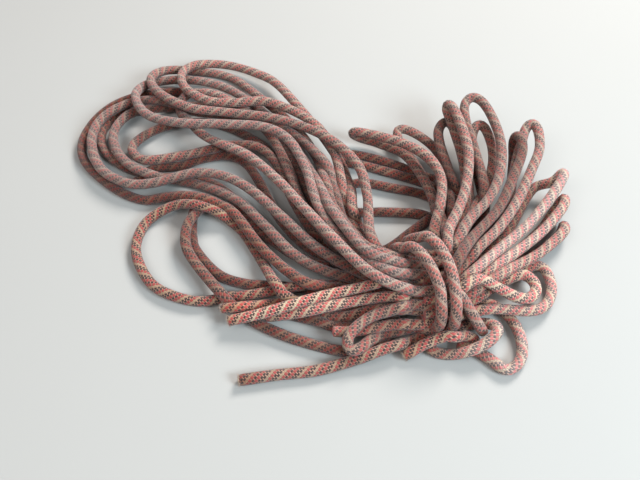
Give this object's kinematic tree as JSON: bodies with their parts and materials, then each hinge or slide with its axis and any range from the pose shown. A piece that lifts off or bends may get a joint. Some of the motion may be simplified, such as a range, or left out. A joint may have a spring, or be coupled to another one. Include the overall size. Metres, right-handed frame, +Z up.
{
  "type": "tied hank of worn braided rope",
  "caption": "Old braided rope gathered in a loose hank, tied round the waist with its own end, long turns on one side, short bights on the other, loose cut ends.",
  "frame": {"origin": "on the ground under the middle of the whole hank", "axes": "+X from the long turns towards the short bights, +Y towards the far side, +Z up from the ground"},
  "size_m": [0.6471, 0.5134, 0.0757],
  "materials": {
    "hank_sheath": "worn braided sheath, cream with red and dark flecks, greyed and fuzzy",
    "front_end_sheath": "worn braided sheath, cleaner, cut tip lightly frayed",
    "tie_tail_sheath": "worn braided sheath, cut tip lightly frayed",
    "lower_end_sheath": "worn braided sheath, bright, blunt tip",
    "upper_end_sheath": "worn braided sheath, rust tinted, blunt tip"
  },
  "bodies": {
    "root": {"hank": "hank_sheath", "front_end": "front_end_sheath", "tie_tail": "tie_tail_sheath", "lower_end": "lower_end_sheath", "upper_end": "upper_end_sheath"}
  },
  "joints": []
}
